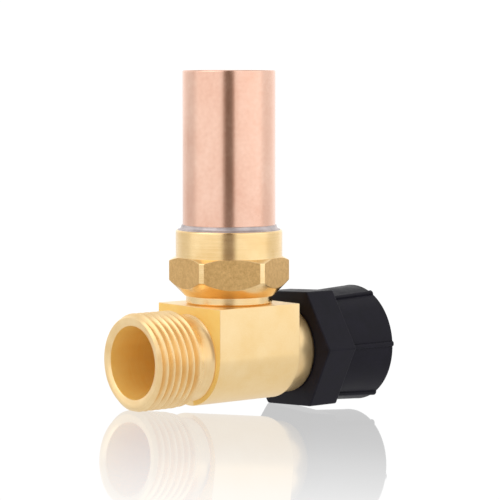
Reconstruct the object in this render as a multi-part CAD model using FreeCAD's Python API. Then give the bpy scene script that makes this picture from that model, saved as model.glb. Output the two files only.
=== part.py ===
import FreeCAD, Part
import math
import os
from FreeCAD import Vector

Vector2d = FreeCAD.Base.Vector2d

# Inline hose tee with a water hammer arrestor on its branch, in millimetres.
# The run lies along X, with the male hose thread at -X and the swivel nut at +X.
# The chamber stands along +Z. The origin is where the two axes meet.

# ---- driving dimensions -------------------------------------------------------------------

# 3/4 inch garden hose thread, 11.5 threads to the inch
THREAD_PITCH = 25.4 / 11.5
THREAD_FLANK = math.radians(30)
MALE_MAJOR_R = 13.495
MALE_MINOR_R = 12.06
FEMALE_MAJOR_R = 13.62
FEMALE_MINOR_R = 12.25
THREAD_FOOT_DEPTH = 0.16
STRIPS_PER_TURN = 8
ENVELOPE_MARGIN = 0.01
MALE_CREST_X = -20.59
FEMALE_CREST_X = 38.0

# tee body
BLOCK_FRONT_X = -14.3
BLOCK_BACK_X = 14.2
BLOCK_HALF_WIDTH = 14.0
BLOCK_TOP_Z = 14.35
BLOCK_BOTTOM_Z = -13.5
RUN_BORE_R = 10.15
RUN_BORE_END_X = 12.0
MALE_END_X = -34.36
END_FACE_R = 12.4
THREAD_START_CHAMFER = 1.1
THREAD_END_X = -19.95
THREAD_END_CHAMFER = 0.45
MOUTH_R = 11.15
MOUTH_DEPTH = 0.6
RELIEF_R = 11.0
RELIEF_FILLET_R = 4.64
SHOULDER_R = 12.1
SHOULDER_STEP = 0.3
BOSS_R = 12.4
BOSS_ROUND = 2.0
BOSS_END_X = 20.8
TAIL_R = 11.6
TAIL_END_X = 31.5
TAIL_BORE_R = 8.5
TAIL_CHAMFER = 0.4

# wire ring that holds the nut on the tail
RING_WIRE_R = 0.8
RING_X = 25.3
RING_GROOVE_R = 10.8
RING_SIDE_CLEARANCE = 0.05
RING_GAP_ANGLE = 26.0

# chamber base
PORT_R = 10.4
SHANK_END_Z = 10.4
SEAL_POCKET_R = 11.6
SEAL_POCKET_DEPTH = 1.3
NECK_R = 12.16
NECK_CHAMFER = 0.45
HEX_BOTTOM_Z = 16.7
HEX_BOTTOM_R = 12.6
HEX_LOW_Z = 21.0
HEX_HIGH_Z = 26.5
HEX_TOP_Z = 27.5
HEX_TOP_R = 15.3
HEX_ACROSS_FLATS = 30.1
HEX_CORNER_R = 16.9
HEX_TURN = 35.5
COLLAR_R = 15.0
COLLAR_TOP_Z = 35.1
COLLAR_CHAMFER = 0.45
PASSAGE_R = 8.2
SOCKET_FLOOR_Z = 28.2
SOCKET_CLEARANCE = 0.05

# copper chamber and its braze
COPPER_R = 13.04
COPPER_WALL = 1.3
COPPER_TOP_Z = 79.7
COPPER_END_THICKNESS = 1.6
COPPER_EDGE_R = 0.5
BRAZE_TOP_Z = 36.6
BRAZE_FOOT_R = 14.5
BRAZE_EDGE = 0.3
BRAZE_THROAT = 0.5

# piston and its rings
PISTON_CLEARANCE = 0.15
PISTON_LENGTH = 18.0
PISTON_SEAT_GAP = 0.1
PISTON_WALL = 3.6
PISTON_FLOOR = 5.0
ORING_WIRE_R = 1.2
ORING_RUNNING_CLEARANCE = 0.05
ORING_OFFSETS = (4.6, 13.4)
ORING_GROOVE_WIDTH = 2.6

# swivel nut
NUT_NEAR_X = 21.2
NUT_HEX_END_X = 31.25
NUT_END_X = 47.4
NUT_CORNER_R = 18.9
NUT_TURN = 3.0
NUT_CORNER_ROUND = 0.9
NUT_EDGE_ROUND = 0.4
SKIRT_START_R = 15.9
SKIRT_END_R = 16.8
SKIRT_EDGE_ROUND = 0.5
RIB_COUNT = 6
RIB_HEIGHT = 0.75
RIB_WIDTH = 1.5
NUT_RUNNING_CLEARANCE = 0.1
NUT_LIP_THICKNESS = 3.0
NUT_POCKET_R = 13.1
NUT_THREAD_START_X = 35.0
NUT_THREAD_START_CHAMFER = 0.8
NUT_THREAD_MOUTH_CHAMFER = 1.4
NUT_MOUTH_R = 14.1
NUT_MOUTH_DEPTH = 0.6

# rubber washer in the nut
WASHER_R = 12.8
WASHER_HOLE_R = 8.0
WASHER_THICKNESS = 3.0
WASHER_GAP = 0.2

# ---- helpers ------------------------------------------------------------------------------

X_AXIS = Vector(1, 0, 0)
Z_AXIS = Vector(0, 0, 1)
CENTRE = Vector(0, 0, 0)


def outline(start, steps, place):
    """Closed face; a step is a point, or a pair (point on an arc, its end)."""
    edges = []
    here = start
    for step in list(steps) + [start]:
        if isinstance(step[0], tuple):
            edges.append(Part.Arc(place(*here), place(*step[0]), place(*step[1])).toShape())
            here = step[1]
        elif step != here:
            edges.append(Part.LineSegment(place(*here), place(*step)).toShape())
            here = step
    return Part.Face(Part.Wire(edges))


def turned_x(start, *steps):
    """Solid turned about the run axis from an outline of (x, radius)."""
    face = outline(start, steps, lambda x, r: Vector(x, 0, r))
    return face.revolve(CENTRE, X_AXIS, 360)


def turned_z(start, *steps):
    """Solid turned about the chamber axis from an outline of (radius, z)."""
    face = outline(start, steps, lambda r, z: Vector(r, 0, z))
    return face.revolve(CENTRE, Z_AXIS, 360)


def arc_middle(centre, radius, degrees):
    """Point on an arc, for use as an arc's middle point."""
    angle = math.radians(degrees)
    return (centre[0] + radius * math.cos(angle), centre[1] + radius * math.sin(angle))


def hexagon_x(corner_r, x_low, x_high):
    """Hexagonal prism along X with corners towards +Y and -Y."""
    corners = []
    for index in range(7):
        angle = math.radians(60 * index)
        corners.append(Vector(x_low, corner_r * math.cos(angle), corner_r * math.sin(angle)))
    return Part.Face(Part.makePolygon(corners)).extrude(Vector(x_high - x_low, 0, 0))


def hexagon_z(corner_r, z_low, z_high):
    """Hexagonal prism along Z with a flat towards -Y."""
    corners = []
    for index in range(7):
        angle = math.radians(60 * index)
        corners.append(Vector(corner_r * math.cos(angle), corner_r * math.sin(angle), z_low))
    return Part.Face(Part.makePolygon(corners)).extrude(Vector(0, 0, z_high - z_low))


def helical_strip(radius, half_width, z_start, index):
    """One short piece of a right-handed helical band about Z: its face and its four edges."""
    surface = Part.Cylinder()
    surface.Radius = radius
    turn_step = 2 * math.pi / STRIPS_PER_TURN
    near_turn = turn_step * (index % STRIPS_PER_TURN)
    far_turn = near_turn + turn_step
    near_z = z_start + THREAD_PITCH / STRIPS_PER_TURN * index
    far_z = near_z + THREAD_PITCH / STRIPS_PER_TURN
    corners = [
        Vector2d(near_turn, near_z - half_width),
        Vector2d(far_turn, far_z - half_width),
        Vector2d(far_turn, far_z + half_width),
        Vector2d(near_turn, near_z + half_width),
    ]
    edges = []
    for corner in range(4):
        side = Part.Geom2d.Line2dSegment(corners[corner], corners[(corner + 1) % 4])
        edges.append(side.toShape(surface))
    return Part.Face(surface, Part.Wire(edges)), edges


def rib_end(crest_edge, foot_edge):
    """Flat face that closes one end of a helical rib."""
    corners = [
        crest_edge.valueAt(crest_edge.FirstParameter),
        crest_edge.valueAt(crest_edge.LastParameter),
        foot_edge.valueAt(foot_edge.LastParameter),
        foot_edge.valueAt(foot_edge.FirstParameter),
    ]
    return Part.Face(Part.makePolygon(corners + corners[:1]))


def thread_rib_x(crest_x, x_low, x_high, foot_r, crest_r, envelope):
    """Helical rib, right-handed along X, cut to an envelope; a crest passes crest_x on the -Y side."""
    crest_half = THREAD_PITCH / 16
    foot_half = crest_half + abs(crest_r - foot_r) * math.tan(THREAD_FLANK)
    first_x = crest_x - 0.75 * THREAD_PITCH
    turns_back = math.ceil((first_x - x_low) / THREAD_PITCH) + 1
    x_start = first_x - turns_back * THREAD_PITCH
    strips = STRIPS_PER_TURN * (math.ceil((x_high - x_start) / THREAD_PITCH) + 1)
    faces = []
    for index in range(strips):
        crest, crest_edges = helical_strip(crest_r, crest_half, x_start, index)
        foot, foot_edges = helical_strip(foot_r, foot_half, x_start, index)
        faces += [crest, foot]
        faces.append(Part.makeRuledSurface(crest_edges[0], foot_edges[0]))
        faces.append(Part.makeRuledSurface(crest_edges[2], foot_edges[2]))
        if index == 0:
            faces.append(rib_end(crest_edges[3], foot_edges[3]))
        if index == strips - 1:
            faces.append(rib_end(crest_edges[1], foot_edges[1]))
    shell = Part.Shell(faces)
    shell.sewShape()
    rib = Part.Solid(shell)
    rib.rotate(CENTRE, Vector(0, 1, 0), 90)
    return rib.common(envelope)


def torus(ring_r, wire_r, axis, centre):
    """Round-section ring about an axis."""
    return Part.makeTorus(ring_r, wire_r, centre, axis)


# ---- tee body -----------------------------------------------------------------------------


def block():
    """Forged middle: flat top and sides, round bottom."""
    round_centre_z = BLOCK_BOTTOM_Z + BLOCK_HALF_WIDTH
    face = outline(
        (-BLOCK_HALF_WIDTH, BLOCK_TOP_Z),
        [
            (-BLOCK_HALF_WIDTH, round_centre_z),
            ((0, BLOCK_BOTTOM_Z), (BLOCK_HALF_WIDTH, round_centre_z)),
            (BLOCK_HALF_WIDTH, BLOCK_TOP_Z),
        ],
        lambda y, z: Vector(BLOCK_FRONT_X, y, z),
    )
    return face.extrude(Vector(BLOCK_BACK_X - BLOCK_FRONT_X, 0, 0))


def male_end():
    """Turned male end: thread core, relief, and the fillet up to a low shoulder on the block."""
    fillet_centre_r = RELIEF_R + RELIEF_FILLET_R
    fillet_run = math.sqrt(RELIEF_FILLET_R ** 2 - (fillet_centre_r - SHOULDER_R) ** 2)
    shoulder_x = BLOCK_FRONT_X - SHOULDER_STEP
    fillet_start_x = shoulder_x - fillet_run
    half_run = math.degrees(math.asin(fillet_run / RELIEF_FILLET_R)) / 2
    fillet_middle = arc_middle((fillet_start_x, fillet_centre_r), RELIEF_FILLET_R, half_run - 90)
    return turned_x(
        (MALE_END_X, 0),
        (MALE_END_X, MALE_MINOR_R),
        (THREAD_END_X, MALE_MINOR_R),
        (THREAD_END_X + MALE_MINOR_R - RELIEF_R, RELIEF_R),
        (fillet_start_x, RELIEF_R),
        (fillet_middle, (shoulder_x, SHOULDER_R)),
        (0, SHOULDER_R),
        (0, 0),
    )


def male_thread():
    """Helical rib up to the end face, chamfered at both ends, with its foot sunk in the core."""
    foot_r = MALE_MINOR_R - THREAD_FOOT_DEPTH
    trim_r = MALE_MAJOR_R + ENVELOPE_MARGIN
    envelope = turned_x(
        (MALE_END_X, foot_r - 1),
        (MALE_END_X, END_FACE_R),
        (MALE_END_X + THREAD_START_CHAMFER, trim_r),
        (THREAD_END_X - THREAD_END_CHAMFER, trim_r),
        (THREAD_END_X, MALE_MINOR_R),
        (THREAD_END_X, foot_r - 1),
    )
    return thread_rib_x(
        MALE_CREST_X,
        MALE_END_X,
        THREAD_END_X,
        foot_r,
        MALE_MAJOR_R,
        envelope,
    )


def tail_end():
    """Turned boss and the tail that the nut spins on, with the ring's groove."""
    round_centre = (BOSS_END_X - BOSS_ROUND, BOSS_R - BOSS_ROUND)
    tail_lift = TAIL_R - round_centre[1]
    round_end_x = round_centre[0] + math.sqrt(BOSS_ROUND ** 2 - tail_lift ** 2)
    end_angle = math.degrees(math.asin(tail_lift / BOSS_ROUND))
    groove_half = RING_WIRE_R + RING_SIDE_CLEARANCE
    return turned_x(
        (0, 0),
        (0, BOSS_R),
        (round_centre[0], BOSS_R),
        (arc_middle(round_centre, BOSS_ROUND, (90 + end_angle) / 2), (round_end_x, TAIL_R)),
        (RING_X - groove_half, TAIL_R),
        (RING_X - groove_half, RING_GROOVE_R),
        (RING_X + groove_half, RING_GROOVE_R),
        (RING_X + groove_half, TAIL_R),
        (TAIL_END_X - TAIL_CHAMFER, TAIL_R),
        (TAIL_END_X, TAIL_R - TAIL_CHAMFER),
        (TAIL_END_X, 0),
    )


def run_bore():
    """Water way along the run, wide up to the step, narrower in the tail."""
    return turned_x(
        (MALE_END_X - 1, 0),
        (MALE_END_X - 1, MOUTH_R),
        (MALE_END_X, MOUTH_R),
        (MALE_END_X + MOUTH_DEPTH, RUN_BORE_R),
        (RUN_BORE_END_X, RUN_BORE_R),
        (RUN_BORE_END_X + RUN_BORE_R - TAIL_BORE_R, TAIL_BORE_R),
        (TAIL_END_X + 1, TAIL_BORE_R),
        (TAIL_END_X + 1, 0),
    )


def branch_port():
    """Port in the top of the block, with the pocket for the seal ring."""
    pocket_floor_z = BLOCK_TOP_Z - SEAL_POCKET_DEPTH
    return turned_z(
        (0, 0),
        (PORT_R, 0),
        (PORT_R, pocket_floor_z),
        (SEAL_POCKET_R, pocket_floor_z),
        (SEAL_POCKET_R, BLOCK_TOP_Z + 1),
        (0, BLOCK_TOP_Z + 1),
    )


def tee_body():
    """One brass forging with its turned ends."""
    body = block().fuse([male_end(), tail_end()])
    body = body.cut([run_bore(), branch_port()]).removeSplitter()
    return body.fuse(male_thread())


# ---- chamber base, chamber and braze ------------------------------------------------------


def chamber_base():
    """Turned adapter: shank, neck, hexagon and the collar that holds the copper."""
    hexagon = hexagon_z(HEX_ACROSS_FLATS / math.sqrt(3), HEX_BOTTOM_Z, HEX_TOP_Z)
    hexagon.rotate(CENTRE, Z_AXIS, -HEX_TURN)
    turned_hexagon = hexagon.common(turned_z(
        (0, HEX_BOTTOM_Z),
        (HEX_BOTTOM_R, HEX_BOTTOM_Z),
        (HEX_CORNER_R, HEX_LOW_Z),
        (HEX_CORNER_R, HEX_HIGH_Z),
        (HEX_TOP_R, HEX_TOP_Z),
        (0, HEX_TOP_Z),
    ))
    middle_z = (HEX_LOW_Z + HEX_HIGH_Z) / 2
    lower = turned_z(
        (0, SHANK_END_Z),
        (PORT_R, SHANK_END_Z),
        (PORT_R, BLOCK_TOP_Z),
        (NECK_R - NECK_CHAMFER, BLOCK_TOP_Z),
        (NECK_R, BLOCK_TOP_Z + NECK_CHAMFER),
        (NECK_R, middle_z),
        (0, middle_z),
    )
    upper = turned_z(
        (0, middle_z),
        (NECK_R, middle_z),
        (NECK_R, HEX_TOP_Z),
        (COLLAR_R, HEX_TOP_Z),
        (COLLAR_R, COLLAR_TOP_Z - COLLAR_CHAMFER),
        (COLLAR_R - COLLAR_CHAMFER, COLLAR_TOP_Z),
        (0, COLLAR_TOP_Z),
    )
    socket_r = COPPER_R + SOCKET_CLEARANCE
    hollow = turned_z(
        (0, SHANK_END_Z - 1),
        (PASSAGE_R, SHANK_END_Z - 1),
        (PASSAGE_R, SOCKET_FLOOR_Z),
        (socket_r, SOCKET_FLOOR_Z),
        (socket_r, COLLAR_TOP_Z + 1),
        (0, COLLAR_TOP_Z + 1),
    )
    return turned_hexagon.fuse([lower, upper]).cut(hollow).removeSplitter()


def base_seal_ring():
    """O-ring in the pocket round the shank."""
    wire_r = (SEAL_POCKET_R - PORT_R) / 2
    middle_z = BLOCK_TOP_Z - SEAL_POCKET_DEPTH / 2
    return torus(PORT_R + wire_r, wire_r, Z_AXIS, Vector(0, 0, middle_z))


def copper_chamber():
    """Drawn copper tube with a flat closed top."""
    inner_r = COPPER_R - COPPER_WALL
    ceiling_z = COPPER_TOP_Z - COPPER_END_THICKNESS
    edge_centre = (COPPER_R - COPPER_EDGE_R, COPPER_TOP_Z - COPPER_EDGE_R)
    return turned_z(
        (inner_r, SOCKET_FLOOR_Z),
        (COPPER_R, SOCKET_FLOOR_Z),
        (COPPER_R, edge_centre[1]),
        (arc_middle(edge_centre, COPPER_EDGE_R, 45), (edge_centre[0], COPPER_TOP_Z)),
        (0, COPPER_TOP_Z),
        (0, ceiling_z),
        (inner_r, ceiling_z),
    )


def braze_ring():
    """Fillet of braze in the corner between the copper and the collar's top."""
    shoulder = (COPPER_R + BRAZE_EDGE, BRAZE_TOP_Z - BRAZE_EDGE / 2)
    foot = (BRAZE_FOOT_R, COLLAR_TOP_Z)
    middle = (COPPER_R + BRAZE_THROAT, COLLAR_TOP_Z + BRAZE_THROAT)
    return turned_z(
        (COPPER_R, COLLAR_TOP_Z),
        foot,
        (middle, shoulder),
        (COPPER_R, BRAZE_TOP_Z),
    )


# ---- piston -------------------------------------------------------------------------------

CYLINDER_R = COPPER_R - COPPER_WALL
PISTON_BOTTOM_Z = SOCKET_FLOOR_Z + PISTON_SEAT_GAP
ORING_R = CYLINDER_R - ORING_RUNNING_CLEARANCE - ORING_WIRE_R


def piston():
    """Moulded piston, hollow on the air side, with two ring grooves."""
    piston_r = CYLINDER_R - PISTON_CLEARANCE
    chamfer = 0.6
    top_z = PISTON_BOTTOM_Z + PISTON_LENGTH
    groove_r = ORING_R - ORING_WIRE_R
    steps = [
        (piston_r - chamfer, PISTON_BOTTOM_Z),
        (piston_r, PISTON_BOTTOM_Z + chamfer),
    ]
    for offset in ORING_OFFSETS:
        low_z = PISTON_BOTTOM_Z + offset - ORING_GROOVE_WIDTH / 2
        high_z = low_z + ORING_GROOVE_WIDTH
        steps += [(piston_r, low_z), (groove_r, low_z), (groove_r, high_z), (piston_r, high_z)]
    steps += [
        (piston_r, top_z - chamfer),
        (piston_r - chamfer, top_z),
        (piston_r - PISTON_WALL, top_z),
        (piston_r - PISTON_WALL, PISTON_BOTTOM_Z + PISTON_FLOOR),
        (0, PISTON_BOTTOM_Z + PISTON_FLOOR),
    ]
    return turned_z((0, PISTON_BOTTOM_Z), *steps)


def piston_oring(offset):
    """Rubber ring in one of the piston's grooves."""
    return torus(ORING_R, ORING_WIRE_R, Z_AXIS, Vector(0, 0, PISTON_BOTTOM_Z + offset))


# ---- nut, its ring and its washer ---------------------------------------------------------


def nut_outside():
    """Hexagonal flange, slightly conical skirt and the ribs along the skirt."""
    flange = hexagon_x(NUT_CORNER_R, NUT_NEAR_X, NUT_HEX_END_X)
    along_x = []
    for edge in flange.Edges:
        if abs(edge.tangentAt(edge.FirstParameter).x) > 0.9:
            along_x.append(edge)
    flange = flange.makeFillet(NUT_CORNER_ROUND, along_x)
    rims = []
    for edge in flange.Edges:
        if abs(edge.BoundBox.XLength) < 1e-6:
            rims.append(edge)
    flange = flange.makeFillet(NUT_EDGE_ROUND, rims)
    round_centre = (NUT_END_X - SKIRT_EDGE_ROUND, SKIRT_END_R - SKIRT_EDGE_ROUND)
    skirt = turned_x(
        (NUT_NEAR_X + 1, 0),
        (NUT_NEAR_X + 1, SKIRT_START_R - 1),
        (NUT_HEX_END_X - 1, SKIRT_START_R - 1),
        (NUT_HEX_END_X, SKIRT_START_R),
        (round_centre[0], SKIRT_END_R),
        (arc_middle(round_centre, SKIRT_EDGE_ROUND, 45), (NUT_END_X, round_centre[1])),
        (NUT_END_X, 0),
    )
    pieces = [skirt]
    for index in range(RIB_COUNT):
        pieces.append(skirt_rib(60 * index))
    return flange.fuse(pieces)


def skirt_rib(degrees):
    """Rib with a rounded top and end, along the skirt."""
    start_x = NUT_HEX_END_X - 0.5
    flat_half = RIB_WIDTH / 2
    face = outline(
        (-flat_half, SKIRT_START_R - 1),
        [
            (-flat_half, SKIRT_START_R),
            ((0, SKIRT_START_R + RIB_HEIGHT), (flat_half, SKIRT_START_R)),
            (flat_half, SKIRT_START_R - 1),
        ],
        lambda side, out: Vector(start_x, out, side),
    )
    rib = face.extrude(Vector(NUT_END_X - start_x, SKIRT_END_R - SKIRT_START_R, 0))
    top_r = SKIRT_END_R + RIB_HEIGHT
    envelope = turned_x(
        (start_x, 0),
        (start_x, top_r + 1),
        (NUT_END_X - SKIRT_EDGE_ROUND - RIB_HEIGHT, top_r + 1),
        (NUT_END_X - SKIRT_EDGE_ROUND - RIB_HEIGHT, top_r),
        (NUT_END_X, SKIRT_END_R - SKIRT_EDGE_ROUND),
        (NUT_END_X, 0),
    )
    rib = rib.common(envelope)
    rib.rotate(CENTRE, X_AXIS, degrees)
    return rib


def nut_hollow():
    """Lip hole, washer pocket and the hole that the thread is cut in."""
    lip_r = TAIL_R + NUT_RUNNING_CLEARANCE
    lip_end_x = NUT_NEAR_X + NUT_LIP_THICKNESS
    lip_chamfer = 0.5
    return turned_x(
        (NUT_NEAR_X - 1, 0),
        (NUT_NEAR_X - 1, lip_r + lip_chamfer),
        (NUT_NEAR_X, lip_r + lip_chamfer),
        (NUT_NEAR_X + lip_chamfer, lip_r),
        (lip_end_x, lip_r),
        (lip_end_x, NUT_POCKET_R),
        (NUT_THREAD_START_X, NUT_POCKET_R),
        (NUT_THREAD_START_X, FEMALE_MAJOR_R),
        (NUT_END_X - NUT_MOUTH_DEPTH, FEMALE_MAJOR_R),
        (NUT_END_X, NUT_MOUTH_R),
        (NUT_END_X + 1, NUT_MOUTH_R),
        (NUT_END_X + 1, 0),
    )


def female_thread():
    """Helical rib that points inward, with its foot sunk in the nut's wall."""
    foot_r = FEMALE_MAJOR_R + THREAD_FOOT_DEPTH
    mouth_x = NUT_END_X - NUT_MOUTH_DEPTH
    trim_r = FEMALE_MINOR_R - ENVELOPE_MARGIN
    envelope = turned_x(
        (NUT_THREAD_START_X, FEMALE_MAJOR_R),
        (NUT_THREAD_START_X + NUT_THREAD_START_CHAMFER, trim_r),
        (mouth_x - NUT_THREAD_MOUTH_CHAMFER, trim_r),
        (mouth_x, FEMALE_MAJOR_R),
        (mouth_x, foot_r + 1),
        (NUT_THREAD_START_X, foot_r + 1),
    )
    return thread_rib_x(
        FEMALE_CREST_X,
        NUT_THREAD_START_X,
        mouth_x,
        foot_r,
        FEMALE_MINOR_R,
        envelope,
    )


def swivel_nut():
    """Moulded nut with a female hose thread, turned slightly from square."""
    nut = nut_outside().cut(nut_hollow()).removeSplitter()
    nut = nut.fuse(female_thread())
    nut.rotate(CENTRE, X_AXIS, -NUT_TURN)
    return nut


def nut_retaining_ring():
    """Split wire ring in the tail's groove, with its gap at the bottom."""
    ring = torus(RING_GROOVE_R + RING_WIRE_R, RING_WIRE_R, X_AXIS, Vector(RING_X, 0, 0))
    reach = 2 * (RING_GROOVE_R + RING_WIRE_R)
    spread = reach * math.tan(math.radians(RING_GAP_ANGLE / 2))
    gap_corners = [CENTRE, Vector(0, -spread, -reach), Vector(0, spread, -reach), CENTRE]
    gap = Part.Face(Part.makePolygon(gap_corners)).extrude(Vector(2 * reach, 0, 0))
    return ring.cut(gap)


def hose_washer():
    """Flat rubber washer between the tail's end and the tap."""
    near_x = TAIL_END_X + WASHER_GAP
    edge = 0.3
    return turned_x(
        (near_x, WASHER_HOLE_R),
        (near_x, WASHER_R - edge),
        (near_x + edge, WASHER_R),
        (near_x + WASHER_THICKNESS - edge, WASHER_R),
        (near_x + WASHER_THICKNESS, WASHER_R - edge),
        (near_x + WASHER_THICKNESS, WASHER_HOLE_R),
    )


# ---- parts --------------------------------------------------------------------------------

os.makedirs("parts", exist_ok=True)
PARTS = {
    "tee_body": tee_body(),
    "chamber_base": chamber_base(),
    "base_seal_ring": base_seal_ring(),
    "copper_chamber": copper_chamber(),
    "braze_ring": braze_ring(),
    "piston": piston(),
    "piston_oring_lower": piston_oring(ORING_OFFSETS[0]),
    "piston_oring_upper": piston_oring(ORING_OFFSETS[1]),
    "swivel_nut": swivel_nut(),
    "nut_retaining_ring": nut_retaining_ring(),
    "hose_washer": hose_washer(),
}
for name, shape in PARTS.items():
    solids = shape.Solids
    if len(solids) == 1:
        shape = solids[0]
    print(name, "solids", len(solids), "valid", shape.isValid(), "volume", round(shape.Volume, 1))
    shape.exportStep(f"parts/{name}.step")
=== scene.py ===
"""Inline hose tee with a water hammer arrestor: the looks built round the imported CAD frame.

Sizes are in millimetres until a mesh is made; every Blender object is in metres.
The run lies along X (male thread at -X, swivel nut at +X) and the chamber along +Z.
"""

import math

import bmesh
import bpy
import numpy as np
from mathutils import Matrix, Vector


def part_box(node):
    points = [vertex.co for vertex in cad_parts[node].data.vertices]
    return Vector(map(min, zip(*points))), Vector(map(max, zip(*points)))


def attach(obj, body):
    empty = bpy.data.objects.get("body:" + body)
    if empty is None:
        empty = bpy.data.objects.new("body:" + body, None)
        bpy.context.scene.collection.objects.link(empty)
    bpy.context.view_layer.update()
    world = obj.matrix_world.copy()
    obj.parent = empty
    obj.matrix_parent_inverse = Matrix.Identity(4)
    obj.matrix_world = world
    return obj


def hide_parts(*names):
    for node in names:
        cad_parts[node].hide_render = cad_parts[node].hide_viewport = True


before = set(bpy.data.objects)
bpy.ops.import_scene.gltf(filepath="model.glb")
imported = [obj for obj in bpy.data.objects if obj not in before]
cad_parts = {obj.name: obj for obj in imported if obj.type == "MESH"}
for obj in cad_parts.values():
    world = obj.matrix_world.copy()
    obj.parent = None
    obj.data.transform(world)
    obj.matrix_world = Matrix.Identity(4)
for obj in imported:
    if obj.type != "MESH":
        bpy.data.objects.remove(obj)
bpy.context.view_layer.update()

MM = 0.001
TAU = 2 * math.pi
SHARP_ANGLE = math.radians(32)
FLAT_FACE_WEIGHT = 60

# ---- sizes taken from the frame, in mm ----------------------------------------------------


def box_mm(node):
    """Lowest and highest corner of a CAD node, in mm."""
    low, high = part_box(node)
    return [c / MM for c in low], [c / MM for c in high]


tee_low, tee_high = box_mm("tee_body")
base_low, base_high = box_mm("chamber_base")
copper_low, copper_high = box_mm("copper_chamber")
braze_low, braze_high = box_mm("braze_ring")
nut_low, nut_high = box_mm("swivel_nut")
washer_low, washer_high = box_mm("hose_washer")

# ---- driving sizes, in mm; turns are in radians -------------------------------------------

PITCH = 25.4 / 11.5
# Shares: the flat at a crest or a root, of the pitch, and the rounding beside it, of the depth.
THREAD_FLAT = 1 / 8
THREAD_SOFTNESS = 0.045
MALE_CREST_R = 13.495
MALE_ROOT_R = 12.06
FEMALE_CREST_R = 12.25
FEMALE_ROOT_R = 13.62
MALE_CREST_X = -20.59
FEMALE_CREST_X = 38.0
END_FACE_R = 12.4
THREAD_START_CHAMFER = 1.1
THREAD_END_X = -19.95
THREAD_END_CHAMFER = 0.45

BLOCK_FRONT_X = -14.3
BLOCK_BACK_X = 14.2
BLOCK_HALF_WIDTH = tee_high[1]
BLOCK_EDGE_BEVEL = 0.16
RELIEF_R = 11.0
RELIEF_FILLET_R = 4.64
SHOULDER_R = 12.1
SHOULDER_STEP = 0.3
BORE_R = 10.15
BORE_STEP_X = 12.0
MOUTH_R = 11.15
MOUTH_DEPTH = 0.6
BOSS_R = 12.4
BOSS_ROUND = 2.0
BOSS_END_X = 20.8
TAIL_R = 11.6
TAIL_BORE_R = 8.5
RING_X = 25.3
RING_GROOVE_R = 10.8
RING_GROOVE_HALF = 0.85

PORT_R = 10.4
SEAL_POCKET_R = 11.6
SEAL_POCKET_DEPTH = 1.3
NECK_R = 12.16
NECK_CHAMFER = 0.45
HEX_BOTTOM_Z = 16.7
HEX_BOTTOM_R = 12.6
HEX_LOW_Z = 21.0
HEX_HIGH_Z = 26.5
HEX_TOP_Z = 27.5
HEX_TOP_R = 15.3
HEX_APOTHEM = 15.05
HEX_CORNER_R = 16.9
HEX_TURN = math.radians(35.5)
HEX_CORNER_ROUND = 0.05
HEX_CLIP_SOFTNESS = 0.06
HEX_FLAT_SLACK = 0.07
COLLAR_R = 15.0
COLLAR_CHAMFER = 0.45
PASSAGE_R = 8.2
SOCKET_R = 13.09

COPPER_R = copper_high[0]
COPPER_WALL = 1.3
COPPER_END = 1.6
COPPER_EDGE = 0.5
BRAZE_R = braze_high[0]
BRAZE_WAVE_Z = 0.03
BRAZE_WAVE_R = 0.02

NUT_NEAR_X = nut_low[0]
NUT_END_X = nut_high[0]
NUT_HEX_END_X = 31.25
NUT_CORNER_R = 18.9
NUT_CORNER_ROUND = 0.9
NUT_EDGE_ROUND = 0.4
NUT_EDGE_GUARD = NUT_EDGE_ROUND * 1.4
NUT_TURN = math.radians(3)
SKIRT_START_R = 15.9
SKIRT_END_R = 16.8
SKIRT_EDGE_ROUND = 0.5
RIB_HEIGHT = 0.75
RIB_HALF_WIDTH = 0.75
NUT_LIP_R = 11.7
NUT_LIP_END_X = 24.2
NUT_LIP_CHAMFER = 0.5
NUT_THREAD_LEAD = 0.6
NUT_POCKET_R = 13.1
NUT_THREAD_X = 35.0
NUT_MOUTH_R = 14.1
NUT_MOUTH_DEPTH = 0.6

WASHER_HOLE_R = 8.0
WASHER_GROOVE_DEPTH = 0.25

# ---- mesh helpers -------------------------------------------------------------------------

ON_AXIS_R = 1e-6
STRAIGHT_HALF_ANGLE = math.radians(86)
# A corner's cut is at most this share of its shorter side. An extra point past the cut, at this
# many cuts from the corner and within this share of the side, keeps the shading of the side flat.
CUT_SHARE = 0.45
GUARD_CUTS = 1.35
GUARD_SHARE = 0.48


def rounded(points, fillet=0.15, steps=4):
    """Outline of (along, radius) with its corners rounded; a third number sets a corner's own fillet."""
    out = []
    count = len(points)
    for index, point in enumerate(points):
        here = np.array(point[:2], float)
        size = point[2] if len(point) > 2 else fillet
        back = np.array(points[index - 1][:2], float) - here
        ahead = np.array(points[(index + 1) % count][:2], float) - here
        back_length, ahead_length = np.linalg.norm(back), np.linalg.norm(ahead)
        back, ahead = back / back_length, ahead / ahead_length
        half = math.acos(np.clip(back @ ahead, -1, 1)) / 2
        on_axis = here[1] < ON_AXIS_R
        if size <= 0 or half > STRAIGHT_HALF_ANGLE or on_axis:
            out.append(here)
            continue
        cut = min(size / math.tan(half), CUT_SHARE * min(back_length, ahead_length))
        radius = cut * math.tan(half)
        middle = (back + ahead) / np.linalg.norm(back + ahead)
        centre = here + middle * radius / math.sin(half)
        first, last = here + back * cut - centre, here + ahead * cut - centre
        start = math.atan2(first[1], first[0])
        turn = math.remainder(math.atan2(last[1], last[0]) - start, TAU)
        out.append(here + back * min(cut * GUARD_CUTS, GUARD_SHARE * back_length))
        for step in range(steps + 1):
            angle = start + turn * step / steps
            out.append(centre + radius * np.array([math.cos(angle), math.sin(angle)]))
        out.append(here + ahead * min(cut * GUARD_CUTS, GUARD_SHARE * ahead_length))
    return np.array(out)


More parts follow.
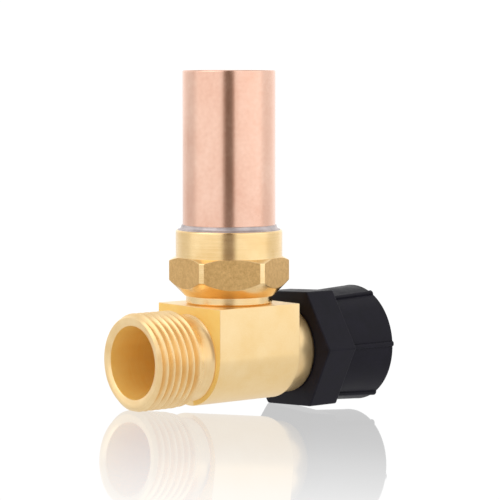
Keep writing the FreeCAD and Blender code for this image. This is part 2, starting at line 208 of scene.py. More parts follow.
def arc(start, through, end, steps):
    """Points of an arc from start through a middle point to end, both ends left out."""
    (ax, ay), (bx, by), (cx, cy) = start, through, end
    d = 2 * (ax * (by - cy) + bx * (cy - ay) + cx * (ay - by))
    a2, b2, c2 = ax * ax + ay * ay, bx * bx + by * by, cx * cx + cy * cy
    ux = (a2 * (by - cy) + b2 * (cy - ay) + c2 * (ay - by)) / d
    uy = (a2 * (cx - bx) + b2 * (ax - cx) + c2 * (bx - ax)) / d
    radius = math.hypot(ax - ux, ay - uy)
    first = math.atan2(ay - uy, ax - ux)
    turn = math.remainder(math.atan2(cy - uy, cx - ux) - first, TAU)
    points = []
    for step in range(1, steps):
        angle = first + turn * step / steps
        points.append((ux + radius * math.cos(angle), uy + radius * math.sin(angle), 0))
    return points


def densified(outline, low, high, step):
    """The outline with extra points where it runs between two places along the axis, or near them."""
    near = 0.5
    out = []
    for index, here in enumerate(outline):
        out.append(here)
        ahead = outline[(index + 1) % len(outline)]
        inside = min(here[0], ahead[0]) >= low - near and max(here[0], ahead[0]) <= high + near
        length = abs(ahead[0] - here[0])
        if inside and length > step:
            count = math.ceil(length / step)
            for k in range(1, count):
                out.append(here + (ahead - here) * k / count)
    return np.array(out)


def even_angles(count):
    """This many even angles round a circle."""
    return np.arange(count) * TAU / count


def finish_mesh(name, mesh):
    """Smooth faces, sharp creases and outward normals, in an object of its own."""
    work = bmesh.new()
    work.from_mesh(mesh)
    bmesh.ops.recalc_face_normals(work, faces=work.faces)
    work.to_mesh(mesh)
    work.free()
    mesh.polygons.foreach_set("use_smooth", [True] * len(mesh.polygons))
    mesh.set_sharp_from_angle(angle=SHARP_ANGLE)
    piece = bpy.data.objects.new(name, mesh)
    bpy.context.scene.collection.objects.link(piece)
    return piece


def turned(name, outline, axis, angles=None, shape=None):
    """Turned solid from an outline of (along, radius) in mm; shape may reshape it round the axis."""
    if angles is None:
        angles = even_angles(256)
    rows, columns = len(outline), len(angles)
    along = np.repeat(outline[:, :1], columns, axis=1)
    radius = np.repeat(outline[:, 1:2], columns, axis=1)
    if shape is not None:
        along, radius = shape(along, radius, angles[None, :] + 0 * along)
    side, up = radius * np.cos(angles), radius * np.sin(angles)
    if axis == "X":
        grid = np.stack([along, side, up], axis=2)
    else:
        grid = np.stack([side, up, along], axis=2)
    poles = outline[0, 1] < ON_AXIS_R and outline[-1, 1] < ON_AXIS_R
    ring = np.arange(columns)
    following = (ring + 1) % columns
    first_row, last_row = (1, rows - 1) if poles else (0, rows)
    vertices = grid[first_row:last_row].reshape(-1, 3)
    kept = last_row - first_row
    faces = []
    for row in range(kept if not poles else kept - 1):
        here, there = row * columns, ((row + 1) % kept) * columns
        quads = np.stack([here + ring, here + following, there + following, there + ring], axis=1)
        faces.extend(quads.tolist())
    if poles:
        tips = [grid[0, 0], grid[-1, 0]]
        base = len(vertices)
        vertices = np.concatenate([vertices, tips])
        last = (kept - 1) * columns
        for k in range(columns):
            faces.append([base, int(following[k]), k])
            faces.append([base + 1, last + k, int(last + following[k])])
    mesh = bpy.data.meshes.new(name)
    mesh.from_pydata((vertices * MM).tolist(), [], faces)
    return finish_mesh(name, mesh)


def combine(base, tool, operation):
    """Joins a tool to the base, or cuts it away, and removes the tool."""
    modifier = base.modifiers.new("combine", "BOOLEAN")
    modifier.operation = operation
    modifier.solver = "EXACT"
    modifier.object = tool
    graph = bpy.context.evaluated_depsgraph_get()
    mesh = bpy.data.meshes.new_from_object(base.evaluated_get(graph))
    base.modifiers.clear()
    base.data = mesh
    bpy.data.objects.remove(tool)


def weight_normals(piece):
    """Keeps wide flat faces flat beside their rounded edges."""
    modifier = piece.modifiers.new("weighted normals", "WEIGHTED_NORMAL")
    modifier.keep_sharp = True
    modifier.weight = FLAT_FACE_WEIGHT


def thread_height(along, angle, start):
    """Share of the thread's depth, 1 at a crest and 0 at a root, with both slightly rounded.

    A crest lies at start where the angle is 0, and climbs one pitch a turn.
    """
    phase = np.mod((along - start) / PITCH - angle / TAU + 0.5, 1.0) - 0.5
    flank = (0.5 - THREAD_FLAT / 2 - np.abs(phase)) / (0.5 - THREAD_FLAT)
    flank = np.clip(flank, -1, 2)
    low = 0.5 * (flank + np.sqrt(flank ** 2 + THREAD_SOFTNESS ** 2))
    return 1 - 0.5 * ((1 - low) + np.sqrt((1 - low) ** 2 + THREAD_SOFTNESS ** 2))


def hexagon_radius(angle, apothem, corner_round):
    """Radius of a hexagon with rounded corners; a corner lies at angle 0."""
    sixth = TAU / 6
    from_flat = np.abs(np.mod(angle, sixth) - sixth / 2)
    sharp = apothem / np.cos(from_flat)
    centre = (apothem - corner_round) / math.cos(sixth / 2)
    from_corner = sixth / 2 - from_flat
    inside = np.clip(corner_round ** 2 - (centre * np.sin(from_corner)) ** 2, 0, None)
    rounded_corner = centre * np.cos(from_corner) + np.sqrt(inside)
    tangent = math.atan((apothem - corner_round) * math.tan(sixth / 2) / apothem)
    return np.where(from_flat > tangent, rounded_corner, sharp)


def angles_with(count, centres, half_width, extra):
    """Even angles round a circle, with more of them near each centre."""
    angles = list(even_angles(count))
    for centre in centres:
        angles.extend(np.mod(centre + np.linspace(-half_width, half_width, extra), TAU))
    angles = np.sort(np.array(angles))
    least_gap = 1e-4
    apart = np.diff(np.append(angles, angles[0] + TAU)) > least_gap
    return angles[apart]


# ---- node helpers -------------------------------------------------------------------------


class Nodes:
    """Short way to write the nodes of a material or a world."""

    def __init__(self, owner, coordinates="Object"):
        owner.use_nodes = True
        self.owner = owner
        self.tree = owner.node_tree
        self.shader = self.tree.nodes.get("Principled BSDF")
        self.place = self.add("ShaderNodeTexCoord").outputs[coordinates]

    def add(self, kind, inputs=None, **settings):
        """New node; an input is a value or another node's output."""
        node = self.tree.nodes.new(kind)
        for key, value in settings.items():
            setattr(node, key, value)
        for key, value in (inputs or {}).items():
            if isinstance(value, bpy.types.NodeSocket):
                self.tree.links.new(value, node.inputs[key])
            else:
                node.inputs[key].default_value = value
        return node

    def scaled(self, scale):
        """The object's own coordinates, scaled by a vector."""
        return self.add("ShaderNodeMapping", {"Vector": self.place, "Scale": scale}).outputs[0]

    def noise(self, scale, detail=3.0, roughness=0.55, stretch=(1, 1, 1)):
        """Noise with about this many features to the metre."""
        size = tuple(scale * s for s in stretch)
        inputs = {"Vector": self.scaled(size), "Scale": 1.0, "Detail": detail, "Roughness": roughness}
        return self.add("ShaderNodeTexNoise", inputs).outputs["Fac"]

    def ramp(self, value, low, high, out_low=0.0, out_high=1.0, shape="LINEAR"):
        """Maps low..high to out_low..out_high, clamped."""
        inputs = {"Value": value, "From Min": low, "From Max": high, "To Min": out_low, "To Max": out_high}
        node = self.add("ShaderNodeMapRange", inputs, interpolation_type=shape)
        return node.outputs["Result"]

    def mix(self, share, first, second):
        """Mix of two colours."""
        node = self.add("ShaderNodeMix", data_type="RGBA")
        for key, value in ((0, share), (6, first), (7, second)):
            if isinstance(value, bpy.types.NodeSocket):
                self.tree.links.new(value, node.inputs[key])
            else:
                node.inputs[key].default_value = value
        return node.outputs[2]

    def math(self, operation, first, second=0.0):
        """One arithmetic step."""
        node = self.add("ShaderNodeMath", {0: first, 1: second}, operation=operation)
        return node.outputs[0]

    def bump(self, height, strength, distance, normal=None):
        """Bump from a height; distance in metres."""
        inputs = {"Height": height, "Strength": strength, "Distance": distance}
        if normal is not None:
            inputs["Normal"] = normal
        return self.add("ShaderNodeBump", inputs).outputs["Normal"]

    def wire(self, **sockets):
        """Links outputs to the shader's sockets, or sets their values."""
        for key, value in sockets.items():
            socket = self.shader.inputs[key.replace("_", " ")]
            if isinstance(value, bpy.types.NodeSocket):
                self.tree.links.new(value, socket)
            else:
                socket.default_value = value
        return self.owner


def new_material(name):
    """Nodes of a new material."""
    return Nodes(bpy.data.materials.new(name))


# ---- materials ----------------------------------------------------------------------------

BRASS = (0.93, 0.66, 0.31, 1)
BRASS_PALE = (0.98, 0.75, 0.42, 1)
BRASS_DEEP = (0.86, 0.58, 0.26, 1)


def brass_turned(name, axis, smooth, rough, metallic):
    """Lathe-turned brass: fine rings round the axis, with a soft mottle."""
    n = new_material(name)
    ring_stretch = (1, 0.02, 0.02) if axis == "X" else (0.02, 0.02, 1)
    rings = n.noise(3600, 4.0, 0.6, ring_stretch)
    wide_rings = n.noise(700, 2.0, 0.5, ring_stretch)
    mottle = n.noise(160, 3.0)
    tone = n.math("ADD", n.math("MULTIPLY", rings, 0.35), n.math("MULTIPLY", mottle, 0.65))
    colour = n.mix(n.ramp(tone, 0.3, 0.7), BRASS_DEEP, BRASS_PALE)
    gloss = n.ramp(wide_rings, 0.3, 0.7, smooth, rough)
    normal = n.bump(rings, 0.2, 0.00002)
    return n.wire(Base_Color=colour, Metallic=metallic, Roughness=gloss, Normal=normal)


def brass_bored(name):
    """Rougher brass down the bore, with drill rings and a redder tone."""
    n = new_material(name)
    rings = n.noise(1800, 3.0, 0.6, (1, 0.02, 0.02))
    mottle = n.noise(200, 3.0)
    tone = n.math("ADD", n.math("MULTIPLY", rings, 0.4), n.math("MULTIPLY", mottle, 0.6))
    colour = n.mix(n.ramp(tone, 0.3, 0.7), (0.98, 0.62, 0.15, 1), (1.0, 0.71, 0.22, 1))
    rough = n.ramp(rings, 0.3, 0.7, 0.45, 0.6)
    normal = n.bump(rings, 0.3, 0.00004)
    return n.wire(Base_Color=colour, Metallic=0.1, Roughness=rough, Normal=normal)


def brass_milled(name):
    """Smooth forged and wiped brass of the block's sides: fine even grain."""
    n = new_material(name)
    grain = n.noise(3800, 3.0, 0.6)
    mottle = n.noise(120, 4.0, 0.6)
    tone = n.math("ADD", n.math("MULTIPLY", grain, 0.35), n.math("MULTIPLY", mottle, 0.65))
    colour = n.mix(n.ramp(tone, 0.35, 0.65), BRASS, BRASS_PALE)
    rough = n.ramp(mottle, 0.3, 0.7, 0.3, 0.4)
    normal = n.bump(grain, 0.3, 0.00003)
    return n.wire(Base_Color=colour, Metallic=1.0, Roughness=rough, Normal=normal)


def brass_forged(name):
    """As-forged flats: a coarse sandy grain, duller than the turned brass."""
    n = new_material(name)
    grain = n.noise(2300, 5.0, 0.7)
    pits = n.noise(900, 3.0, 0.6)
    tone = n.math("ADD", n.math("MULTIPLY", grain, 0.6), n.math("MULTIPLY", pits, 0.4))
    colour = n.mix(n.ramp(tone, 0.36, 0.64), (0.56, 0.34, 0.125, 1), (0.78, 0.52, 0.225, 1))
    height = n.math("ADD", grain, n.math("MULTIPLY", pits, 1.5))
    normal = n.bump(height, 0.6, 0.00008)
    rough = n.ramp(grain, 0.3, 0.7, 0.42, 0.56)
    return n.wire(Base_Color=colour, Metallic=1.0, Roughness=rough, Normal=normal)


def copper_tube(name):
    """Drawn copper: satin, with faint cloudy tarnish and drawing lines along the tube."""
    n = new_material(name)
    clouds = n.noise(90, 4.0, 0.6, (1, 1, 0.7))
    specks = n.noise(900, 3.0, 0.6)
    lines = n.noise(1500, 3.0, 0.5, (1, 1, 0.02))
    tone = n.math("ADD", n.math("MULTIPLY", clouds, 0.7), n.math("MULTIPLY", specks, 0.3))
    colour = n.mix(n.ramp(tone, 0.34, 0.66), (0.79, 0.465, 0.345, 1), (0.88, 0.59, 0.465, 1))
    rough = n.ramp(tone, 0.3, 0.7, 0.17, 0.24)
    height = n.math("ADD", lines, n.math("MULTIPLY", specks, 0.6))
    normal = n.bump(height, 0.2, 0.00003)
    return n.wire(Base_Color=colour, Metallic=1.0, Roughness=rough, Normal=normal)


def silver_braze(name):
    """Pale silver alloy, flowed and slightly uneven."""
    n = new_material(name)
    flow = n.noise(350, 3.0)
    fine = n.noise(1800, 3.0)
    colour = n.mix(n.ramp(flow, 0.35, 0.65), (0.46, 0.41, 0.41, 1), (0.62, 0.555, 0.55, 1))
    rough = n.ramp(fine, 0.3, 0.7, 0.38, 0.5)
    normal = n.bump(n.math("ADD", flow, n.math("MULTIPLY", fine, 0.25)), 0.35, 0.0001)
    return n.wire(Base_Color=colour, Metallic=0.95, Roughness=rough, Normal=normal)


def black_plastic(name):
    """Moulded black nylon: fine spark-eroded texture and a slight bloom."""
    n = new_material(name)
    grain = n.noise(5200, 3.0, 0.6)
    bloom = n.noise(220, 4.0, 0.6)
    colour = n.mix(n.ramp(bloom, 0.35, 0.7), (0.0055, 0.0048, 0.0095, 1), (0.010, 0.0088, 0.016, 1))
    rough = n.ramp(bloom, 0.3, 0.7, 0.42, 0.56)
    normal = n.bump(grain, 0.35, 0.00003)
    return n.wire(Base_Color=colour, Roughness=rough, Normal=normal, IOR=1.25)


def black_rubber(name):
    """Moulded rubber, matte with a dusty bloom."""
    n = new_material(name)
    bloom = n.noise(400, 4.0, 0.6)
    grain = n.noise(3000, 3.0)
    colour = n.mix(n.ramp(bloom, 0.35, 0.7), (0.014, 0.014, 0.015, 1), (0.035, 0.035, 0.036, 1))
    rough = n.ramp(grain, 0.3, 0.7, 0.6, 0.8)
    return n.wire(Base_Color=colour, Roughness=rough, Normal=n.bump(grain, 0.3, 0.00004))


def spring_wire(name):
    """Drawn stainless wire."""
    n = new_material(name)
    lines = n.noise(2500, 3.0)
    colour = n.mix(n.ramp(lines, 0.3, 0.7), (0.48, 0.48, 0.49, 1), (0.66, 0.66, 0.68, 1))
    rough = n.ramp(lines, 0.3, 0.7, 0.2, 0.34)
    return n.wire(Base_Color=colour, Metallic=1.0, Roughness=rough, Normal=n.bump(lines, 0.2, 0.00002))


def piston_plastic(name):
    """Moulded off-white acetal with a slight cloudiness."""
    n = new_material(name)
    clouds = n.noise(300, 3.0)
    colour = n.mix(n.ramp(clouds, 0.3, 0.7), (0.66, 0.65, 0.61, 1), (0.78, 0.77, 0.74, 1))
    rough = n.ramp(clouds, 0.3, 0.7, 0.28, 0.4)
    return n.wire(Base_Color=colour, Roughness=rough, Normal=n.bump(n.noise(2500), 0.15, 0.00002))


turned_x_brass = brass_turned("brass_turned_run", "X", smooth=0.26, rough=0.34, metallic=0.75)
turned_z_brass = brass_turned("brass_turned_base", "Z", smooth=0.17, rough=0.23, metallic=1.0)
bored_brass = brass_bored("brass_bore")
milled_brass = brass_milled("brass_block")
forged_brass = brass_forged("brass_forged_flats")
copper = copper_tube("copper_tube")
braze = silver_braze("silver_braze")
nut_plastic = black_plastic("nut_plastic")
rubber = black_rubber("rubber")
steel_wire = spring_wire("steel_wire")
white_plastic = piston_plastic("piston_plastic")

# ---- tee body -----------------------------------------------------------------------------


def run_solid():
    """Everything turned about the run: thread, relief, boss and tail."""
    start_x = tee_low[0]
    fillet_centre_r = RELIEF_R + RELIEF_FILLET_R
    fillet_run = math.sqrt(RELIEF_FILLET_R ** 2 - (fillet_centre_r - SHOULDER_R) ** 2)
    foot = (BLOCK_FRONT_X - SHOULDER_STEP - fillet_run, RELIEF_R, 0)
    shoulder = (BLOCK_FRONT_X - SHOULDER_STEP, SHOULDER_R, 0.05)
    half_way = math.asin(fillet_run / RELIEF_FILLET_R) / 2
    middle = (
        foot[0] + RELIEF_FILLET_R * math.sin(half_way),
        fillet_centre_r - RELIEF_FILLET_R * math.cos(half_way),
    )
    groove_low, groove_high = RING_X - RING_GROOVE_HALF, RING_X + RING_GROOVE_HALF
    points = [
        (start_x, 0),
        (start_x, END_FACE_R, 0.07),
        (start_x + THREAD_START_CHAMFER, MALE_CREST_R, 0.1),
        (THREAD_END_X - THREAD_END_CHAMFER, MALE_CREST_R, 0.1),
        (THREAD_END_X, MALE_ROOT_R, 0.1),
        (THREAD_END_X + MALE_ROOT_R - RELIEF_R, RELIEF_R, 0.5),
        foot,
        *arc(foot[:2], middle, shoulder[:2], 10),
        shoulder,
        (0, SHOULDER_R, 0),
        (1, BOSS_R, 0),
        (BOSS_END_X, BOSS_R, BOSS_ROUND),
        (BOSS_END_X, TAIL_R, 0.1),
        (groove_low, TAIL_R, 0.1),
        (groove_low, RING_GROOVE_R, 0.2),
        (groove_high, RING_GROOVE_R, 0.2),
        (groove_high, TAIL_R, 0.1),
        (tee_high[0], TAIL_R, 0.4),
        (tee_high[0], 0),
    ]
    outline = densified(rounded(points, 0.15, 6), start_x, THREAD_END_X, PITCH / 44)
    crest_start = MALE_CREST_X - PITCH / 2

    def thread(along, radius, angle):
        height = thread_height(along, angle, crest_start)
        threaded = MALE_ROOT_R + (MALE_CREST_R - MALE_ROOT_R) * height
        inside = (along > start_x) & (along < THREAD_END_X)
        return along, np.where(inside, np.minimum(radius, threaded), radius)

    return turned("tee_body_look", outline, "X", even_angles(400), thread)


def block_solid():
    """U-shaped block with crisp, slightly broken edges."""
    centre_z = tee_low[2] + BLOCK_HALF_WIDTH
    section = [(-BLOCK_HALF_WIDTH, tee_high[2])]
    arc_steps = 64
    for step in range(arc_steps + 1):
        angle = math.pi + math.pi * step / arc_steps
        side = BLOCK_HALF_WIDTH * math.cos(angle)
        section.append((side, centre_z + BLOCK_HALF_WIDTH * math.sin(angle)))
    section.append((BLOCK_HALF_WIDTH, tee_high[2]))
    work = bmesh.new()
    front = [work.verts.new((BLOCK_FRONT_X * MM, y * MM, z * MM)) for y, z in section]
    back = [work.verts.new((BLOCK_BACK_X * MM, y * MM, z * MM)) for y, z in section]
    count = len(section)
    for k in range(count):
        following = (k + 1) % count
        work.faces.new((front[k], front[following], back[following], back[k]))
    work.faces.new(front)
    work.faces.new(back)
    bmesh.ops.recalc_face_normals(work, faces=work.faces)
    crisp_angle = math.radians(30)
    crisp = [edge for edge in work.edges if edge.calc_face_angle(0) > crisp_angle]
    bevel = BLOCK_EDGE_BEVEL * MM
    bmesh.ops.bevel(work, geom=crisp, offset=bevel, segments=3, profile=0.5, affect="EDGES")
    mesh = bpy.data.meshes.new("block")
    work.to_mesh(mesh)
    work.free()
    return finish_mesh("block", mesh)


def run_bore():
    """Water way through the run."""
    front, back = tee_low[0] - 1, tee_high[0] + 1
    points = [
        (front, 0),
        (front, MOUTH_R + 0.1, 0),
        (tee_low[0], MOUTH_R, 0),
        (tee_low[0] + MOUTH_DEPTH, BORE_R, 0.06),
        (BORE_STEP_X, BORE_R, 0.2),
        (BORE_STEP_X + BORE_R - TAIL_BORE_R, TAIL_BORE_R, 0.3),
        (back, TAIL_BORE_R, 0),
        (back, 0),
    ]
    return turned("bore_tool", rounded(points), "X", even_angles(192))


def branch_port():
    """Port in the block's top, with the seal ring's pocket."""
    pocket_z = tee_high[2] - SEAL_POCKET_DEPTH
    points = [
        (0, 0),
        (0, PORT_R, 0),
        (pocket_z, PORT_R, 0),
        (pocket_z, SEAL_POCKET_R, 0),
        (tee_high[2] + 1, SEAL_POCKET_R, 0),
        (tee_high[2] + 1, 0),
    ]
    return turned("port_tool", rounded(points), "Z", even_angles(128))


TURNED_SLOT, MILLED_SLOT, BORED_SLOT = 0, 1, 2
PORT_SLACK = 0.05
PORT_RIM_SLACK = 0.01
FACE_SLACK = 0.02


def build_tee_body():
    """The brass forging, joined and bored, with its block's faces in their own material."""
    body = run_solid()
    combine(body, block_solid(), "UNION")
    combine(body, run_bore(), "DIFFERENCE")
    combine(body, branch_port(), "DIFFERENCE")
    mesh = body.data
    mesh.polygons.foreach_set("use_smooth", [True] * len(mesh.polygons))
    mesh.set_sharp_from_angle(angle=SHARP_ANGLE)
    mesh.materials.clear()
    mesh.materials.append(turned_x_brass)
    mesh.materials.append(milled_brass)
    mesh.materials.append(bored_brass)
    for face in mesh.polygons:
        x, y, z = (c / MM for c in face.center)
        from_run, from_branch = math.hypot(y, z), math.hypot(x, y)
        in_port = from_branch < SEAL_POCKET_R + PORT_SLACK and 0 < z < tee_high[2] - PORT_RIM_SLACK
        in_bore = from_run < BORE_R + FACE_SLACK
        on_block = BLOCK_FRONT_X - FACE_SLACK < x < BLOCK_BACK_X + FACE_SLACK
        if in_bore or in_port:
            face.material_index = BORED_SLOT
        else:
            face.material_index = MILLED_SLOT if on_block else TURNED_SLOT
    weight_normals(body)
    return body


tee_body = build_tee_body()
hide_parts("tee_body")
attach(tee_body, "tee")

# ---- chamber base -------------------------------------------------------------------------


def build_chamber_base():
    """Shank, neck, hexagon with turned chamfers, and the collar."""
    points = [
        (base_low[2], PASSAGE_R, 0.3),
        (base_low[2], PORT_R, 0.3),
        (tee_high[2], PORT_R, 0),
        (tee_high[2] + 0.01, NECK_R - NECK_CHAMFER, 0.08),
        (tee_high[2] + NECK_CHAMFER, NECK_R, 0.08),
        (HEX_BOTTOM_Z, NECK_R, 0.1),
        (HEX_BOTTOM_Z, HEX_BOTTOM_R, 0.1),
        (HEX_LOW_Z, HEX_CORNER_R, 0.35),
        (HEX_HIGH_Z, HEX_CORNER_R, 0.35),
        (HEX_TOP_Z, HEX_TOP_R, 0.1),
        (HEX_TOP_Z, COLLAR_R, 0.06),
        (base_high[2], COLLAR_R, COLLAR_CHAMFER),
        (base_high[2], SOCKET_R, 0.1),
        (copper_low[2], SOCKET_R, 0),
        (copper_low[2], PASSAGE_R, 0.2),
    ]
    outline = densified(rounded(points, 0.1, 5), HEX_BOTTOM_Z, HEX_TOP_Z, 0.12)
    corners = [-HEX_TURN + k * TAU / 6 for k in range(6)]

    def clip_to_flats(along, radius, angle):
        flats = hexagon_radius(angle + HEX_TURN, HEX_APOTHEM, HEX_CORNER_ROUND)
        gap = radius - flats
        clipped = 0.5 * (radius + flats - np.sqrt(gap ** 2 + HEX_CLIP_SOFTNESS ** 2))
        in_hexagon = (along > HEX_BOTTOM_Z + 0.01) & (along < HEX_TOP_Z - 0.001) & (radius > HEX_BOTTOM_R)
        near_flat = gap > -1.0
        return along, np.where(in_hexagon & near_flat, np.minimum(clipped, radius), radius)

    angles = angles_with(count=360, centres=corners, half_width=math.radians(5), extra=41)
    piece = turned("chamber_base_look", outline, "Z", angles, clip_to_flats)
    mesh = piece.data
    mesh.materials.append(turned_z_brass)
    mesh.materials.append(forged_brass)
    for face in mesh.polygons:
        x, y, z = (c / MM for c in face.center)
        angle = np.array([math.atan2(y, x) + HEX_TURN])
        flats = hexagon_radius(angle, HEX_APOTHEM, HEX_CORNER_ROUND)[0]
        in_hexagon = HEX_BOTTOM_Z < z < HEX_TOP_Z
        on_flat = in_hexagon and math.hypot(x, y) > flats - HEX_FLAT_SLACK
        face.material_index = 1 if on_flat else 0
    return piece


chamber_base = build_chamber_base()
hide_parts("chamber_base")
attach(chamber_base, "tee")

# ---- copper chamber and braze -------------------------------------------------------------


def build_copper():
    """Plain drawn tube with a flat closed top."""
    top, foot, inner_r = copper_high[2], copper_low[2], COPPER_R - COPPER_WALL
    points = [
        (top, 0),
        (top, COPPER_R, COPPER_EDGE),
        (foot, COPPER_R, 0.2),
        (foot, inner_r, 0.2),
        (top - COPPER_END, inner_r, 1.0),
        (top - COPPER_END, 0),
    ]
    piece = turned("copper_chamber_look", rounded(points, 0.2, 6), "Z")
    piece.data.materials.append(copper)
    return piece


copper_chamber = build_copper()
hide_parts("copper_chamber")
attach(copper_chamber, "tee")


def build_braze():
    """Concave fillet whose edges wander a little, as flowed metal does."""
    low, high = braze_low[2], braze_high[2]
    shoulder = (high - 0.2, COPPER_R + 0.34)
    foot = (low + 0.12, BRAZE_R - 0.08)
    middle = (low + 0.5, COPPER_R + 0.58)
    points = [
        (low, COPPER_R, 0),
        (low, BRAZE_R - 0.05, 0),
        (*foot, 0),
        *arc(foot, middle, shoulder, 8),
        (*shoulder, 0.12),
        (high - 0.06, COPPER_R, 0),
    ]

    def wander(along, radius, angle):
        wave = np.sin(3 * angle + 0.7) + 0.7 * np.sin(7 * angle + 2.1) + 0.4 * np.sin(13 * angle + 4.0)
        lift = (along - low) / (high - low)
        out = (radius - COPPER_R) / (BRAZE_R - COPPER_R)
        return along + BRAZE_WAVE_Z * wave * lift, radius + BRAZE_WAVE_R * wave * out * (1 - lift)

    piece = turned("braze_ring_look", rounded(points, 0.1, 4), "Z", shape=wander)
    piece.data.materials.append(braze)
    return piece


braze_ring = build_braze()
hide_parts("braze_ring")
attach(braze_ring, "tee")

# ---- swivel nut and washer ----------------------------------------------------------------


def build_nut():
    """Hexagonal flange, ribbed skirt and the female thread, as one moulding.

    A flange row's second number is added to the hexagon's radius; the other rows' is the radius.
    """
    apothem = NUT_CORNER_R * math.cos(TAU / 12)
    corner_angles = [k * TAU / 6 - NUT_TURN for k in range(6)]
    mouth_x = NUT_END_X - NUT_MOUTH_DEPTH
    flange, skirt, bore = "flange", "skirt", "bore"
    round_steps = 5
    skirt_steps = 8
    rows = [(NUT_NEAR_X, NUT_LIP_R + NUT_LIP_CHAMFER, bore)]
    for step in range(round_steps + 1):
        angle = TAU / 4 * step / round_steps
        inset = NUT_EDGE_ROUND * (1 - math.sin(angle))
        rows.append((NUT_NEAR_X + NUT_EDGE_ROUND * (1 - math.cos(angle)), -inset, flange))
    rows.append((NUT_NEAR_X + NUT_EDGE_GUARD, 0, flange))
    rows.append((NUT_HEX_END_X - NUT_EDGE_GUARD, 0, flange))
    for step in range(round_steps + 1):
        angle = TAU / 4 * step / round_steps
        inset = NUT_EDGE_ROUND * (1 - math.cos(angle))
        rows.append((NUT_HEX_END_X - NUT_EDGE_ROUND * (1 - math.sin(angle)), -inset, flange))
    slope = (SKIRT_END_R - SKIRT_START_R) / (NUT_END_X - NUT_HEX_END_X)
    for x in (NUT_HEX_END_X, NUT_HEX_END_X + 0.05, NUT_END_X - 1.5, NUT_END_X - 1.0):
        rows.append((x, SKIRT_START_R + slope * (x - NUT_HEX_END_X), skirt))
    for step in range(skirt_steps + 1):
        angle = TAU / 4 * step / skirt_steps
        x = NUT_END_X - SKIRT_EDGE_ROUND * (1 - math.sin(angle))
        rows.append((x, SKIRT_END_R - SKIRT_EDGE_ROUND * (1 - math.cos(angle)), skirt))
    hollow = rounded([
        (NUT_END_X, NUT_MOUTH_R, 0.15),
        (mouth_x, FEMALE_ROOT_R, 0.05),
        (NUT_THREAD_X, FEMALE_ROOT_R, 0),
        (NUT_THREAD_X, NUT_POCKET_R, 0),
        (NUT_LIP_END_X, NUT_POCKET_R, 0.2),
        (NUT_LIP_END_X, NUT_LIP_R, 0.15),
        (NUT_NEAR_X + NUT_LIP_CHAMFER, NUT_LIP_R, 0.1),
        (NUT_NEAR_X, NUT_LIP_R + NUT_LIP_CHAMFER, 0),
    ], 0.1, 3)[:-1]
    hollow = hollow[hollow[:, 0] <= NUT_END_X]
    hollow = densified(hollow, NUT_THREAD_X, mouth_x, PITCH / 28)
    rows += [(x, r, bore) for x, r in hollow]
    kinds = np.array([row[2] for row in rows])[:, None]
    outline = np.array([row[:2] for row in rows])

    def mould(along, radius, angle):
        hexagon = hexagon_radius(angle + NUT_TURN, apothem, NUT_CORNER_ROUND) + radius
        sixth = TAU / 6
        from_rib = np.abs(np.mod(angle + NUT_TURN + sixth / 2, sixth) - sixth / 2) * SKIRT_END_R
        across = np.clip(from_rib / RIB_HALF_WIDTH, 0, 1)
        to_end = np.clip((NUT_END_X - along) / RIB_HEIGHT, 0, 1)
        fade = np.sqrt(np.clip(1 - (1 - to_end) ** 2, 0, 1))
        rib = RIB_HEIGHT * np.sqrt(1 - across ** 3) * fade
        depth = FEMALE_ROOT_R - FEMALE_CREST_R
        height = depth * thread_height(along, angle + NUT_TURN, FEMALE_CREST_X - PITCH / 2)
        lead = (along - NUT_THREAD_X) / NUT_THREAD_LEAD
        tail = mouth_x - along
        height = np.clip(np.minimum(height, np.minimum(lead, tail)), 0, None)
        threaded = (along > NUT_THREAD_X) & (along < mouth_x)
        inside = radius - np.where(threaded, height, 0)
        return along, np.where(kinds == flange, hexagon, np.where(kinds == skirt, radius + rib, inside))

    rib_reach = 1.15
    rib_span = RIB_HALF_WIDTH * rib_reach / SKIRT_END_R
    angles = angles_with(count=300, centres=corner_angles, half_width=rib_span, extra=33)
    piece = turned("swivel_nut_look", outline, "X", angles, mould)
    piece.data.materials.append(nut_plastic)
    return piece


swivel_nut = build_nut()
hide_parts("swivel_nut")
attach(swivel_nut, "nut")


def build_washer():
    """Flat rubber washer with soft edges and a shallow moulded groove on its outer face."""
    inner_r, outer_r = WASHER_HOLE_R, washer_high[1]
    near, far = washer_low[0], washer_high[0]
    groove_x = far - WASHER_GROOVE_DEPTH
    points = [
        (near, inner_r, 0.3),
        (near, outer_r, 0.4),
        (far, outer_r, 0.4),
        (far, inner_r + 3.0, 0.1),
        (groove_x, inner_r + 2.7, 0.1),
        (groove_x, inner_r + 2.2, 0.1),
        (far, inner_r + 1.9, 0.1),
        (far, inner_r, 0.3),
    ]
    piece = turned("hose_washer_look", rounded(points, 0.2, 5), "X", even_angles(160))
    piece.data.materials.append(rubber)
    return piece


hose_washer = build_washer()
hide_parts("hose_washer")
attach(hose_washer, "nut")

# ---- inner pieces that keep their CAD shape -----------------------------------------------


def dress(node, material):
    """Gives a CAD node its material."""
    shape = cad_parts[node]
    shape.data.materials.clear()
    shape.data.materials.append(material)


dress("base_seal_ring", rubber)
dress("piston", white_plastic)
dress("piston_oring_lower", rubber)
dress("piston_oring_upper", rubber)
dress("nut_retaining_ring", steel_wire)

# ---- stage, light and camera --------------------------------------------------------------

CAMERA_AZIMUTH = math.radians(-39.22)
CAMERA_ELEVATION = math.radians(4.30)
CAMERA_LENS = 165.5
CAMERA_SENSOR = 36
CAMERA_DISTANCE = 648.2
CAMERA_RIGHT = 5.89
CAMERA_UP = 29.20

